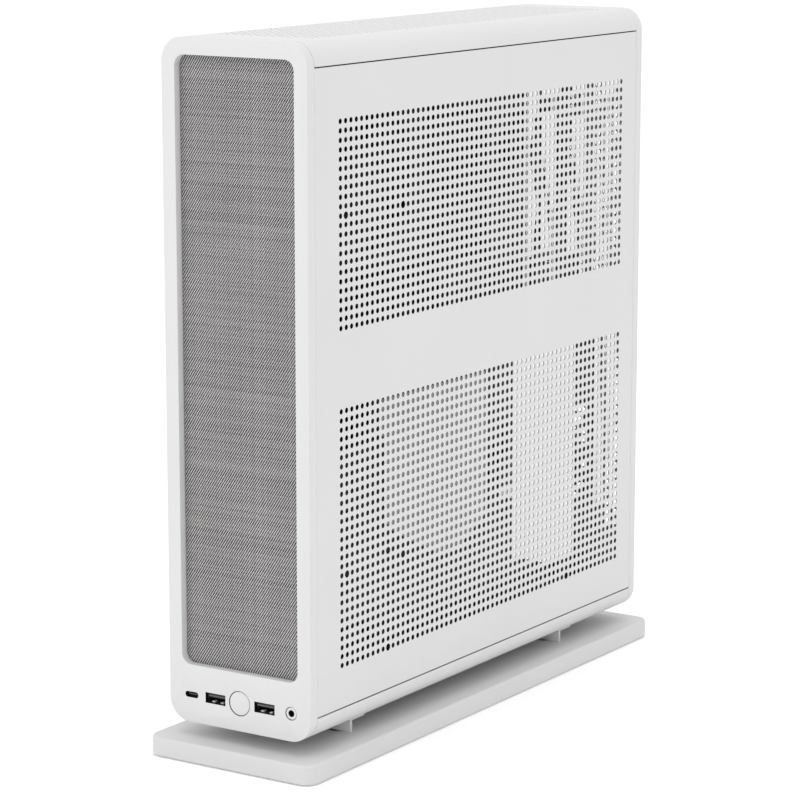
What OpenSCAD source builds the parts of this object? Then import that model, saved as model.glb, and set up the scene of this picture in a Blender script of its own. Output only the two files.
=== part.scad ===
// Slim console-style desktop computer tower on a flat base plate.
// X runs across the width (the perforated right side is +X), -Y is the front, +Z is up.
// The origin is the middle of the base's underside. All lengths are in millimetres.

/* [Body] */
// Width of the body across its side panels
body_w = 94.6; // [94:0.2:100]
// Depth of the body from front to rear
body_d = 354.7; // [354:0.1:360]
// Height of the body without its base
body_h = 375.2; // [375:0.1:380]
// Radius of the four long edges
edge_r = 13; // [9:0.5:13]
// Thickness of the sheet-metal shell
sheet_t = 1.2; // [1:0.1:1.2]
// Thickness of the perforated side panels
panel_t = 0.6; // [0.5:0.1:0.8]
// Depth of the rim that the front bezel and the rear panel each wrap round the body
rim_d = 6.45; // [6.4:0.05:7]
// Height of the curved top and bottom covers at the body's sides
cover_h = 13.4; // [13.2:0.1:14]
// Width of the dark joint between a cover and a side panel
seam_t = 0.7; // [0.5:0.1:1]

/* [Base] */
// Width of the base plate
base_w = 110; // [104:1:140]
// Length of the base plate
base_d = 374; // [370:1:400]
// Height of the base plate's top above the surface it stands on
base_t = 11.5; // [11:0.1:16]
// Radius of the base plate's corners
base_r = 8; // [4:1:12]
// Clear gap between the base plate and the body
stand_gap = 8.1; // [7:0.1:12]
// Distance of the body's middle behind the base plate's middle
body_shift = 2.2; // [0:0.1:4]
// Width of the two cross brackets under the body
bracket_w = 72.5; // [60:0.5:76]
// Places of the two cross brackets along Y
bracket_ys = [-120.7, 106.4];

/* [Side mesh] */
// Distance between neighbouring holes
hole_pitch = 5; // [5:0.1:5.2]
// Diameter of the larger holes through which a screwdriver reaches the inside
access_d = 4.1; // [3.6:0.1:4.4]
// Distance of the first hole behind the front
mesh_front = 29.85; // [28:0.05:30]
// Distance of the first row below the top
mesh_top = 42.8; // [42:0.1:44]

/* [Front] */
// Width of the fabric window
window_w = 77.5; // [70:0.5:78]
// Radius of the window's corners
window_r = 6; // [3:0.5:8]
// Frame above the window
window_top = 9.3; // [9:0.1:12]
// Frame below the window
window_bottom = 32.7; // [32:0.1:36]
// Depth of the fabric behind the bezel's face
fabric_recess = 4.4; // [3.5:0.1:4.4]
// Height of the row of sockets above the body's bottom
socket_row = 15.6; // [15:0.1:16]
// Diameter of the power button
button_d = 13.3; // [12:0.1:13.6]
// Travel of the power button
button_travel = 1; // [0.5:0.1:1]

/* [Hidden] */
$fn = 48;

eps = 0.01;
clear = 0.3;

// Body envelope
front_y = body_shift - body_d / 2;
rear_y = body_shift + body_d / 2;
bottom_z = base_t + stand_gap;
top_z = bottom_z + body_h;
side_x = body_w / 2;
inner_x = side_x - sheet_t;
rim_front_y = front_y + rim_d;
rim_rear_y = rear_y - rim_d;
rim_gap = 0.1;
cover_d = rim_rear_y - rim_front_y - 2 * rim_gap;

// Stand
pad_d = 22;
pad_x = base_w / 2 - 18;
pad_y = base_d / 2 - 22;
bracket_boss_x = 26;

// Covers and their inner lips, which the side panels' edges rest over
lip_t = 1.2;
lip_x = inner_x - 0.4;
lip_h = 11;
panel_z0 = bottom_z + cover_h + seam_t / 2;
panel_z1 = top_z - cover_h - seam_t / 2;
cover_edge_h = cover_h - seam_t / 2;

// Side mesh
mesh_y0 = front_y + mesh_front;
mesh_z0 = top_z - mesh_top;
access_holes = [[1, 10], [12, 10], [1, 49], [9, 48], [12, 49], [9, 59], [48, 59]];
panel_x = side_x - panel_t;
panel_y0 = rim_front_y + rim_gap;
panel_y1 = rim_rear_y - rim_gap;
panel_hem = 1.5;
stud_ys = [front_y + 22, rear_y - 18];
stud_zs = [panel_z0 + 20, panel_z1 - 20];

// Front
window_z0 = bottom_z + window_bottom;
window_z1 = top_z - window_top;
bezel_face_t = 2.4;
socket_z = bottom_z + socket_row;
usb_c_x = -32.4;
usb_a_xs = [-16.3, 16.7];
jack_x = 34.4;
usb_c_open = [8.9, 3.3];
usb_a_open = [13.5, 5.9];
jack_d = 6.9;
jack_bore_d = 3.6;
sockets_y = front_y + bezel_face_t + clear;
io_board_y = rim_front_y + 13;
switch_y = io_board_y - 5;
button_stem = switch_y - front_y - 0.1 - button_travel - 0.2;

// Steel frame inside the shell
frame_x = lip_x - lip_t - clear;
front_frame_y = rim_front_y + 0.5;
rear_plate_y = rear_y - 5.2;
shelf_z = 202;

// Motherboard, parallel to the sides with its parts facing +X
tray_x = -37.7;
standoff_h = 6.35;
board_t = 1.6;
board_side = 170;
board_x = tray_x + sheet_t + standoff_h;
board_face_x = board_x + board_t;
board_y1 = rear_plate_y - 1;
board_y0 = board_y1 - board_side;
board_z0 = 206;
board_zc = board_z0 + board_side / 2;
board_holes = [[6.4, 6.4], [163.6, 6.4], [6.4, 163.6], [163.6, 163.6]];
io_w = 44.45;
io_h = 158.75;
io_x0 = board_x - 2.2;
memory_y = board_y0 + 13;
slot_y0 = board_y0 + 52;
// Rear sockets: height up the board, depth off the board, length along the board
io_ports = [
    [14, 15.6, 15], [34, 15.6, 14.4], [53, 15.6, 14.4], [72, 13, 16], [93, 6, 15.4],
    [113, 13.5, 16.4], [134, 13, 14]
];

// Processor cooler
cooler_y = board_y0 + 78;
cooler_z = board_zc + 8;
cooler_side = 92;
cooler_fan_x = 12;

// Power supply, in the front of the upper chamber with its fan facing +X
psu_size = [63.5, 125, 100];
psu_at = [-31.5, -163, 268];
psu_wall = 1;
psu_fan_side = 92;
psu_mid = [psu_at[0] + psu_size[0], psu_at[1] + psu_size[1] / 2, psu_at[2] + psu_size[2] / 2];
rocker_y = psu_at[1] + 92;
rocker_x = psu_at[0] + 31;
rocker_open = [11, 15];

// Graphics card, in the lower chamber with its fans facing +X
gpu_x = -14.8;
gpu_face_x = 26;
gpu_y0 = -85;
gpu_y1 = rear_plate_y - 3;
gpu_z0 = 56;
gpu_z1 = 191;
gpu_fan_d = 63;
gpu_fan_ys = [66, 134];
gpu_fan_z = 124;
slot_pitch = 20.32;
slot_w = 14.3;
slot_h = 96;
slot_z = 128;
slot_xs = [gpu_x + 5, gpu_x + 5 + slot_pitch];
riser_y0 = 60;
ribbon_y0 = 66;
ribbon_w = 76;
ribbon_x = -23;

// White plates just inside the right panel. A web is the columns and the row of its upper end,
// then those of its lower end, on the lattice of the panel's holes.
plate_x = panel_x - clear - sheet_t;
upper_webs = [
    [38.8, 40.5, -2, 38.8, 40.4, 2.4], [38.8, 40.2, 2.3, 38.6, 38.8, 6.4],
    [38.9, 39.1, 8, 38.9, 40.6, 13], [38.9, 40.6, 12.9, 39.3, 39.6, 19],
    [41.9, 45.6, -2, 41.9, 45.6, 0.5], [41.9, 44.5, 2.6, 42, 44.7, 7],
    [42, 44.7, 6.9, 44.3, 44.7, 14], [41.9, 42, 11, 41.9, 44.1, 18.6],
    [48.9, 51.6, -2, 48.9, 51.6, 0.5], [48.9, 51.3, 3.6, 49.3, 51.3, 7.5],
    [49.3, 51.3, 7.4, 50.9, 51.3, 13], [47.9, 48, 10, 47.9, 50.3, 19.6],
    [55.9, 60.1, -2, 55.9, 60.1, 0.5], [55.9, 58.6, 0.4, 55.9, 58.6, 1.5],
    [56.5, 57.6, 4.5, 57.3, 57.6, 13], [54.9, 55, 8, 54.9, 56.4, 20.6]
];
lower_webs = [[54.8, 55.4, 29, 55.3, 57.3, 51.6], [57.4, 59.6, 29, 59, 59.6, 52.4]];

// Case fans on the left of the lower chamber
case_fan_side = 140;
case_fan_t = 15;
case_fan_x = -43.2;
case_fan_ys = [-76, 68];
case_fan_z = 116;

// Mains inlet at the rear
inlet_x = 10;
inlet_z = 44;
inlet_open = [27.6, 20.2];
inlet_flange = [50, 24];
inlet_screw_x = 20;

// Colours
white = "whitesmoke";
black = "#1c1c1e";
board_black = "#17191b";
silver = "silver";

// Flat rounded rectangle, centred
module round_rect(size, r) {
    square([size[0] - 2 * r, size[1]], center = true);
    square([size[0], size[1] - 2 * r], center = true);
    for (x = [-1, 1], y = [-1, 1])
        translate([x * (size[0] / 2 - r), y * (size[1] / 2 - r)]) circle(r);
}

// Slab with its outline in XZ, from y0 towards the rear
module slab_xz(y0, depth) {
    translate([0, y0 + depth, 0]) rotate([90, 0, 0]) linear_extrude(depth) children();
}

// Slab with its outline in YZ, from x0 towards +X
module slab_yz(x0, depth) {
    translate([x0, 0, 0]) rotate([90, 0, 90]) linear_extrude(depth) children();
}

// Outline of the body seen from the front, drawn in by inset
module body_outline(inset) {
    translate([0, (bottom_z + top_z) / 2])
        round_rect([body_w - 2 * inset, body_h - 2 * inset], edge_r - inset);
}

module fabric_outline(inset) {
    translate([0, (window_z0 + window_z1) / 2])
        round_rect([window_w - 2 * inset, window_z1 - window_z0 - 2 * inset], window_r - inset);
}

// Screw with a pan head, pointing down -Z with its head's underside at z = 0
module screw(d, length, head_d, head_h) {
    translate([0, 0, -length]) cylinder(d = d, h = length + eps);
    difference() {
        cylinder(d = head_d, h = head_h);
        translate([0, 0, head_h * 0.4]) for (a = [0, 90])
            rotate(a) cube([head_d * 0.6, head_d * 0.16, head_h * 1.3], center = true);
    }
}

// ---- Stand ----

module base_plate() {
    color(white)
    difference() {
        translate([0, 0, 0.8]) linear_extrude(base_t - 0.8) round_rect([base_w, base_d], base_r);
        for (x = [-1, 1], y = [-1, 1])
            translate([x * pad_x, y * pad_y, -1]) cylinder(d = pad_d + 0.4, h = 3);
        for (y = bracket_ys) {
            translate([0, y, base_t - 1.5 + eps]) cube([bracket_w + 0.4, 2.4, 3], center = true);
            for (x = [-1, 1]) translate([x * bracket_boss_x, y, 0]) {
                cylinder(d = 9, h = 4);
                cylinder(d = 4.4, h = base_t + 1);
                translate([0, 0, 6]) cylinder(d = 8.4, h = base_t);
            }
        }
    }
}

module base_pads() {
    color("dimgray")
    for (x = [-1, 1], y = [-1, 1])
        translate([x * pad_x, y * pad_y, 0]) cylinder(d = pad_d, h = 2);
}

// Each bracket is an upright plate with a flange under the body and two bosses sunk in the base
module stand_brackets() {
    flange = 14;
    color(white)
    for (y = bracket_ys) translate([0, y, 0]) difference() {
        union() {
            translate([-bracket_w / 2, -1, base_t - 2.8]) cube([bracket_w, 2, stand_gap + 2.8]);
            translate([-bracket_w / 2, -1, bottom_z - 1.6]) cube([bracket_w, flange, 1.6]);
            for (x = [-1, 1]) translate([x * bracket_boss_x, 0, 6]) cylinder(d = 8, h = base_t - 6);
        }
        for (x = [-1, 1]) {
            translate([x * bracket_boss_x, 0, 5]) cylinder(d = 4, h = base_t - 5.2);
            translate([x * bracket_boss_x, flange - 6, bottom_z - 4]) cylinder(d = 3.4, h = 6);
        }
    }
}

module stand_screws() {
    color(silver)
    for (y = bracket_ys, x = [-1, 1])
        translate([x * bracket_boss_x, y, 3.9]) mirror([0, 0, 1]) screw(3.9, 6.6, 8, 2.6);
}

// ---- Shell ----

// Half of the shell's outline: the curved cover and the lips that the side panels rest over
module cover_profile(top) {
    z_edge = top ? top_z - cover_edge_h : bottom_z + cover_edge_h;
    z_low = top ? z_edge : bottom_z;
    difference() {
        intersection() {
            body_outline(0);
            translate([-body_w, z_low]) square([2 * body_w, cover_edge_h]);
        }
        body_outline(sheet_t);
    }
    for (s = [-1, 1]) {
        translate([s * (lip_x + inner_x - lip_t) / 2, z_edge + (top ? 1.5 : -1.5)])
            square([inner_x - lip_x + lip_t, 3], center = true);
        translate([s * (lip_x - lip_t / 2), z_edge + (top ? -1 : 1) * lip_h / 2])
            square([lip_t, lip_h + 3], center = true);
    }
}

module bottom_cover() {
    slot_n = 22;
    color(white)
    difference() {
        slab_xz(rim_front_y + rim_gap, cover_d) cover_profile(false);
        for (i = [0:slot_n - 1], x = [-1, 1])
            translate([x * 15, front_y + 96 + i * 8, bottom_z]) cube([22, 3, 5], center = true);
        for (y = bracket_ys, x = [-1, 1])
            translate([x * bracket_boss_x, y + 8, bottom_z - 1]) cylinder(d = 3.4, h = 4);
    }
}

module top_cover() {
    color(white) slab_xz(rim_front_y + rim_gap, cover_d) cover_profile(true);
}

module top_filter() {
    color(white)
    translate([0, body_shift, top_z - 3.2]) difference() {
        cube([72, 316, 1], center = true);
        for (x = [-1, 1], y = [-1, 1]) translate([x * 33, y * 155, -2]) cylinder(d = 2.5, h = 4);
    }
}

// Sheet with a hem down each upright edge. Only its large holes are cut: the 61 columns of
// 2.9 mm holes, in 23 rows above the plain band and 29 below it, are left out of the solid.
module side_panel(access) {
    color(white) {
        slab_yz(panel_x, panel_t) difference() {
            translate([panel_y0, panel_z0]) square([panel_y1 - panel_y0, panel_z1 - panel_z0]);
            if (access) for (h = access_holes)
                translate([mesh_y0 + h[0] * hole_pitch, mesh_z0 - h[1] * hole_pitch])
                    circle(d = access_d);
        }
        for (y = [panel_y0, panel_y1 - sheet_t])
            translate([panel_x - panel_hem, y, panel_z0 + 30])
                cube([panel_hem + eps, sheet_t, panel_z1 - panel_z0 - 60]);
    }
}

module side_panel_right() {
    side_panel(true);
}

module side_panel_left() {
    mirror([1, 0, 0]) side_panel(false);
}

// Snap studs on the inside of a panel
module panel_studs() {
    color(silver)
    for (y = stud_ys, z = stud_zs) translate([panel_x, y, z]) rotate([0, -90, 0]) {
        cylinder(d = 8, h = 1);
        cylinder(d = 2.8, h = 5);
        translate([0, 0, 5]) sphere(d = 4);
    }
}

module right_panel_studs() {
    panel_studs();
}

module left_panel_studs() {
    mirror([1, 0, 0]) panel_studs();
}

// Fine black mesh behind the left panel
module left_filter() {
    color(black)
    slab_yz(0.7 - inner_x, 0.5) difference() {
        translate([panel_y0 + 5, panel_z0 + 15])
            square([panel_y1 - panel_y0 - 10, panel_z1 - panel_z0 - 30]);
        for (y = stud_ys, z = stud_zs) translate([y, z]) circle(d = 9);
    }
}

// ---- Front ----

module front_bezel() {
    color(white)
    difference() {
        slab_xz(front_y, rim_d) body_outline(0);
        translate([0, -1, 0]) slab_xz(front_y, rim_d + 2) fabric_outline(0);
        // Hollow behind the face, left solid round the window
        slab_xz(front_y + bezel_face_t, rim_d) difference() {
            body_outline(2);
            fabric_outline(-1.6);
        }
        translate([0, -1, 0]) slab_xz(front_y, rim_d) {
            for (x = usb_a_xs) translate([x, socket_z]) square(usb_a_open, center = true);
            translate([usb_c_x, socket_z])
                round_rect(usb_c_open, usb_c_open[1] / 2 - eps);
        }
        translate([0, front_y - 1, socket_z]) rotate([-90, 0, 0]) cylinder(d = button_d + 0.8, h = 9);
        translate([jack_x, front_y - 1, socket_z]) rotate([-90, 0, 0]) cylinder(d = jack_d + 0.6, h = 9);
    }
}

module front_fabric() {
    color("gray") slab_xz(front_y + fabric_recess, 0.9) fabric_outline(0.05);
}

module fabric_frame() {
    bar_pitch = 14;
    depth = front_y + rim_d - (front_y + fabric_recess + 0.9);
    color(black)
    slab_xz(front_y + fabric_recess + 0.9, depth) difference() {
        fabric_outline(0.05);
        difference() {
            fabric_outline(4);
            for (z = [window_z0 + bar_pitch:bar_pitch:window_z1])
                translate([0, z]) square([window_w, 1.6], center = true);
            for (x = [-1, 0, 1]) translate([x * 18, bottom_z]) square([1.6, 2 * body_h], center = true);
        }
    }
}

module power_button() {
    color(white)
    translate([0, front_y + 0.1, socket_z]) rotate([-90, 0, 0]) {
        cylinder(d = button_d, h = 4.6);
        translate([0, 0, 2.8]) cylinder(d = button_d + 2.4, h = 1.2);
        cylinder(d = 4, h = button_stem);
    }
}

module button_switch() {
    color(black) {
        translate([0, switch_y + 1 + 2, socket_z]) cube([6.2, 4, 6.2], center = true);
        translate([0, switch_y, socket_z]) rotate([-90, 0, 0]) cylinder(d = 3.4, h = 2);
    }
}

module front_io_board() {
    color("darkgreen")
    difference() {
        translate([-41.5, io_board_y, bottom_z + 4.5]) cube([83, 1.6, 20]);
        for (x = [-1, 1]) translate([x * 25, io_board_y - 1, bottom_z + 21])
            rotate([-90, 0, 0]) cylinder(d = 3.2, h = 4);
    }
}

module usb_c_port() {
    depth = io_board_y - sockets_y;
    color(silver)
    translate([usb_c_x, 0, socket_z]) {
        difference() {
            slab_xz(sockets_y, depth) round_rect([9.4, 3.7], 1.8);
            slab_xz(sockets_y - 1, depth - 1) round_rect([8.5, 2.8], 1.35);
        }
        translate([-3.3, sockets_y + 0.7, -0.35]) cube([6.6, depth - 1, 0.7]);
    }
}

module usb_a_ports() {
    depth = io_board_y - sockets_y;
    color(silver)
    for (x = usb_a_xs) translate([x, 0, socket_z]) {
        difference() {
            translate([-7.2, sockets_y, -3.4]) cube([14.4, depth, 6.8]);
            translate([-6.6, sockets_y - 1, -2.8]) cube([13.2, depth - 1, 5.6]);
        }
        translate([-5.6, sockets_y + 1, 0.3]) cube([11.2, depth - 1.5, 1.9]);
    }
}

module audio_jack() {
    depth = io_board_y - front_y - 0.2;
    color(white)
    translate([jack_x, front_y + 0.2, socket_z]) rotate([-90, 0, 0]) difference() {
        union() {
            cylinder(d = jack_d, h = depth);
            translate([-4.5, -4.5, 6]) cube([9, 9, depth - 6]);
        }
        translate([0, 0, -1]) cylinder(d = jack_bore_d, h = 15);
    }
}

// ---- Frame ----

module front_frame() {
    h = top_z - bottom_z - 2 * sheet_t;
    open_z0 = socket_z - 8;
    open_z1 = window_z1 - 8;
    color(white)
    difference() {
        slab_xz(front_frame_y, sheet_t) difference() {
            translate([0, (top_z + bottom_z) / 2]) round_rect([2 * frame_x, h], 10);
            // One opening for the sockets and the air behind the window
            translate([0, (open_z0 + open_z1) / 2]) round_rect([80, open_z1 - open_z0], 3);
        }
        for (x = [-30, 30], z = [open_z0 - 3.2, open_z1 + 8])
            translate([x, front_frame_y - 1, z]) rotate([-90, 0, 0]) cylinder(d = 3.2, h = 4);
    }
}

module rear_panel() {
    color(white)
    difference() {
        union() {
            slab_xz(rim_rear_y, rim_d) difference() {
                body_outline(0);
                body_outline(sheet_t);
            }
            slab_xz(rear_plate_y, sheet_t) body_outline(sheet_t / 2);
        }
        translate([io_x0, rear_plate_y - 1, board_zc - io_h / 2]) cube([io_w, 4, io_h]);
        for (x = slot_xs) translate([x - slot_w / 2, rear_plate_y - 1, slot_z - slot_h / 2])
            cube([slot_w, 4, slot_h]);
        translate([inlet_x - inlet_open[0] / 2, rear_plate_y - 1, inlet_z - inlet_open[1] / 2])
            cube([inlet_open[0], 4, inlet_open[1]]);
        for (x = [-1, 1]) translate([inlet_x + x * inlet_screw_x, rear_plate_y - 1, inlet_z])
            rotate([-90, 0, 0]) cylinder(d = 3.2, h = 4);
        // Vents beside the I/O opening and beside the slots
        for (i = [0:3], j = [0:25]) translate([20 + i * 6, rear_plate_y - 1, 222 + j * 6])
            rotate([-90, 0, 0]) cylinder(d = 4, h = 4);
        for (i = [0:1], j = [0:17]) translate([30 + i * 6, rear_plate_y - 1, 74 + j * 6])
            rotate([-90, 0, 0]) cylinder(d = 4, h = 4);
    }
}

module mid_shelf() {
    y0 = front_frame_y + sheet_t;
    color(white)
    difference() {
        translate([-frame_x, y0, shelf_z]) cube([2 * frame_x, rear_plate_y - y0, sheet_t]);
        translate([-14, ribbon_y0 - 3, shelf_z - 1]) cube([9, ribbon_w + 6, 4]);
        translate([-14, -160, shelf_z - 1]) cube([28, 40, 4]);
    }
}

// ---- Motherboard ----

module motherboard_tray() {
    color(white)
    difference() {
        translate([tray_x, board_y0 - 18, shelf_z + sheet_t])
            cube([sheet_t, rear_plate_y - board_y0 + 18, board_side + 4]);
        for (h = board_holes) translate([tray_x - 1, board_y0 + h[0], board_z0 + h[1]])
            rotate([0, 90, 0]) cylinder(d = 3, h = 4);
        translate([tray_x - 1, cooler_y - 35, cooler_z - 35]) cube([4, 70, 70]);
    }
}

module board_standoffs() {
    color("goldenrod")
    for (h = board_holes) translate([tray_x + sheet_t, board_y0 + h[0], board_z0 + h[1]])
        rotate([0, 90, 0]) difference() {
            cylinder(d = 6, h = standoff_h, $fn = 6);
            translate([0, 0, 1]) cylinder(d = 3, h = standoff_h);
        }
}

module motherboard() {
    color(board_black) {
        difference() {
            translate([board_x, board_y0, board_z0]) cube([board_t, board_side, board_side]);
            for (h = board_holes) translate([board_x - 1, board_y0 + h[0], board_z0 + h[1]])
                rotate([0, 90, 0]) cylinder(d = 3.9, h = 4);
        }
        // Processor socket with its package
        translate([board_face_x, cooler_y - 22, cooler_z - 22]) cube([3, 44, 44]);
        translate([board_face_x + 3 - eps, cooler_y - 18, cooler_z - 18]) cube([2.4, 36, 36]);
        // Memory slots
        for (i = [0, 1]) translate([board_face_x, memory_y + i * 9.5 - 3.2, board_z0 + 16])
            cube([8, 6.4, 142]);
        // Expansion slot, board power header and voltage regulator heatsink
        translate([board_face_x, slot_y0, board_z0 + 3]) cube([11, 89, 7.4]);
        translate([board_face_x, board_y0 + 1, board_z0 + 60]) cube([9, 5.4, 52]);
        translate([board_face_x, cooler_y - 30, board_z0 + board_side - 18]) cube([16, 76, 14]);
    }
}

module board_screws() {
    color(silver)
    for (h = board_holes) translate([board_face_x, board_y0 + h[0], board_z0 + h[1]])
        rotate([0, 90, 0]) screw(2.9, 5, 6, 2);
}

module io_shield() {
    color(silver)
    difference() {
        translate([io_x0 + 0.3, rear_plate_y - 0.6, board_zc - io_h / 2 + 0.3])
            cube([io_w - 0.6, 1, io_h - 0.6]);
        for (p = io_ports) translate([board_face_x + 0.4 - clear, rear_plate_y - 2, board_z0 + p[0] - clear])
            cube([p[1] + 2 * clear, 4, p[2] + 2 * clear]);
        for (i = [0:2], j = [0:22]) translate([2 + i * 3.6, rear_plate_y - 2, board_z0 + 12 + j * 6.4])
            rotate([-90, 0, 0]) cylinder(d = 2.4, h = 4);
    }
}

module rear_io_ports() {
    depth = 20;
    y0 = rear_plate_y + 1 - depth;
    color(silver)
    for (p = io_ports) translate([board_face_x + 0.4, y0, board_z0 + p[0]]) difference() {
        cube([p[1], depth, p[2]]);
        translate([1, 3, 1]) cube([p[1] - 2, depth, p[2] - 2]);
    }
}

// ---- Processor cooler ----

module cpu_heatsink() {
    base_x = board_face_x + 5.4;
    fin_n = 30;
    fin_pitch = 3;
    color(silver) {
        translate([base_x, cooler_y - 20, cooler_z - 20]) cube([7, 40, 40]);
        translate([base_x + 6, cooler_y - 44, cooler_z - 45]) cube([3, 88, 90]);
        for (i = [0:fin_n - 1])
            translate([base_x + 9 - eps, cooler_y - 44, cooler_z - 44 + i * fin_pitch])
                cube([cooler_fan_x - base_x - 9, 88, 0.8]);
    }
}

// Square fan frame, its axis along Z, with its motor mount on four struts at z = 0
module fan_frame(side, depth, duct_d, hub_d, hole_at) {
    difference() {
        linear_extrude(depth) difference() {
            round_rect([side, side], 5);
            circle(d = duct_d);
            for (x = [-1, 1], y = [-1, 1]) translate([x * hole_at, y * hole_at]) circle(d = 4.3);
        }
    }
    for (a = [45, 135]) rotate(a) translate([-duct_d / 2 - 1, -1.5, 0]) cube([duct_d + 2, 3, 2]);
    cylinder(d = hub_d, h = 2);
    cylinder(d = 3, h = depth - 3);
}

// Fan wheel that spins in fan_frame: a hub on the frame's pin, and pitched blades
module fan_rotor(depth, tip_d, hub_d, blades) {
    blade_pitch = 38;
    z0 = 2.6;
    difference() {
        union() {
            translate([0, 0, z0]) cylinder(d = hub_d, h = depth - z0 - 0.8);
            intersection() {
                translate([0, 0, z0]) cylinder(d = tip_d, h = depth - z0 - 1.2);
                for (i = [0:blades - 1]) rotate(i * 360 / blades)
                    translate([hub_d / 2 - 1, 0, depth / 2 + 0.4]) rotate([blade_pitch, 0, 0])
                        translate([0, -hub_d / 2, -0.6]) cube([tip_d / 2, hub_d, 1.2]);
            }
        }
        cylinder(d = 3.1, h = depth - 2.2);
    }
}

module along_x(p) {
    translate(p) rotate([0, 90, 0]) children();
}

module cpu_fan_frame() {
    color(black) along_x([cooler_fan_x, cooler_y, cooler_z]) fan_frame(cooler_side, 15, 87, 32, 41.2);
}

module cpu_fan_rotor() {
    color(black) along_x([cooler_fan_x, cooler_y, cooler_z]) fan_rotor(15, 84, 34, 9);
}

module memory_modules() {
    color(black)
    for (i = [0, 1]) translate([board_face_x + 8, memory_y + i * 9.5, board_z0 + 20])
        difference() {
            translate([0, -2.6, 0]) cube([30, 5.2, 133]);
            translate([24, -4, 30]) cube([8, 8, 73]);
        }
}

// ---- Power supply ----

module psu_bracket() {
    color(white)
    difference() {
        translate([psu_at[0] - 2, psu_at[1] - 1, psu_at[2] - 1.2])
            cube([psu_size[0] + 4, psu_size[1] + 2, 1.2]);
        translate([psu_at[0] + 8, psu_at[1] + 10, psu_at[2] - 3])
            cube([psu_size[0] - 16, psu_size[1] - 20, 6]);
        for (x = [4, psu_size[0] - 4], y = [6, psu_size[1] - 6])
            translate([psu_at[0] + x, psu_at[1] + y, psu_at[2] - 3]) cylinder(d = 3.6, h = 6);
    }
}

module psu_housing() {
    color(black)
    translate(psu_at) difference() {
        cube(psu_size);
        translate([psu_wall, psu_wall, psu_wall])
            cube([for (s = psu_size) s - 2 * psu_wall]);
        along_x([psu_size[0] - 3, psu_size[1] / 2, psu_size[2] / 2]) cylinder(d = 88, h = 6);
        translate([18, 86, -1]) translate([31 - 18 - rocker_open[0] / 2, 6 - rocker_open[1] / 2, 0])
            cube([rocker_open[0], rocker_open[1], 3]);
        translate([20, 30, -1]) cube([21.5, 28, 3]);
        for (x = [4, psu_size[0] - 4], y = [6, psu_size[1] - 6])
            translate([x, y, -1]) cylinder(d = 3.4, h = 3);
    }
}

module psu_fan_frame() {
    color(black)
    along_x([psu_mid[0] - psu_wall - 15.2, psu_mid[1], psu_mid[2]])
        fan_frame(psu_fan_side, 15, 87, 32, 41.2);
}

module psu_fan_rotor() {
    color(black)
    along_x([psu_mid[0] - psu_wall - 15.2, psu_mid[1], psu_mid[2]]) fan_rotor(15, 84, 34, 11);
}

// Wire guard: rings held by four spokes, on the housing's outer face
module psu_fan_guard() {
    wire = 1.4;
    color("dimgray")
    along_x([psu_mid[0] + wire / 2, psu_mid[1], psu_mid[2]]) {
        for (r = [14:10:44]) rotate_extrude() translate([r, 0]) circle(d = wire, $fn = 16);
        for (a = [45, 135]) rotate([0, 0, a]) rotate([0, 90, 0])
            cylinder(d = wire - 0.2, h = 96, center = true, $fn = 16);
    }
}

module psu_rocker() {
    color(black)
    translate([rocker_x, rocker_y, psu_at[2]]) rotate([8, 0, 0]) {
        cube([rocker_open[0] - 1, rocker_open[1] - 2, 3.4], center = true);
        rotate([0, 90, 0]) cylinder(d = 5, h = rocker_open[0] - 0.4, center = true);
    }
}

// ---- Mains ----

module mains_inlet() {
    depth = 22;
    face_y = rear_plate_y + sheet_t;
    color(black)
    translate([inlet_x, 0, inlet_z]) {
        difference() {
            union() {
                slab_xz(face_y, 2.2) round_rect(inlet_flange, 5);
                translate([-inlet_open[0] / 2 + 0.3, face_y - depth, -inlet_open[1] / 2 + 0.3])
                    cube([inlet_open[0] - 0.6, depth, inlet_open[1] - 0.6]);
            }
            slab_xz(face_y - 15, 20) round_rect([24.2, 16.4], 3);
            for (x = [-1, 1]) translate([x * inlet_screw_x, face_y - 1, 0])
                rotate([-90, 0, 0]) cylinder(d = 3.2, h = 5);
        }
        for (p = [[-7, 2], [0, -2], [7, 2]])
            translate([p[0] - 1, face_y - 15 - eps, p[1] - 2]) cube([2, 11, 4]);
    }
}

// A round lead along a list of points
module lead(points, d) {
    for (i = [0:len(points) - 2]) {
        a = points[i];
        v = points[i + 1] - a;
        translate(a) rotate([0, acos(v[2] / norm(v)), atan2(v[1], v[0])])
            cylinder(d = d, h = norm(v), $fn = 24);
        if (i > 0) translate(a) sphere(d = d + 0.5, $fn = 24);
    }
}

lead_points = [
    [10, 153, 42], [10, 130, 38.5], [10, -130, 38.5], [10, -148, 50], [6, -150, 80],
    [4, -150, 230], [0, -132, 256], [0, -119, 264]
];

module mains_lead() {
    color(black) {
        lead(lead_points, 7);
        translate([-9, -131, 262]) cube([18, 24, 9]);
    }
}

cable_points = [
    [12, -32, 300], [15, -20, 296], [0, -4, 292], [-14, 0.5, 292]
];

module board_power_cable() {
    color(black) {
        lead(cable_points, 11);
        translate([-6, -37.7, 284]) cube([24, 8, 32]);
        translate([board_face_x + 9.2, board_y0 + 0.6, 267]) cube([8, 6.2, 50]);
    }
}

// ---- Graphics card ----

module gpu_board() {
    color(board_black) {
        translate([gpu_x, gpu_y0 + 10, gpu_z0]) cube([board_t, gpu_y1 - gpu_y0 - 10, 122]);
        translate([gpu_x, riser_y0 + 1.5, gpu_z0 - 7]) cube([board_t, 86, 7 + eps]);
        translate([gpu_x + board_t - eps, 40, 104]) cube([3, 40, 40]);
    }
}

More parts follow.
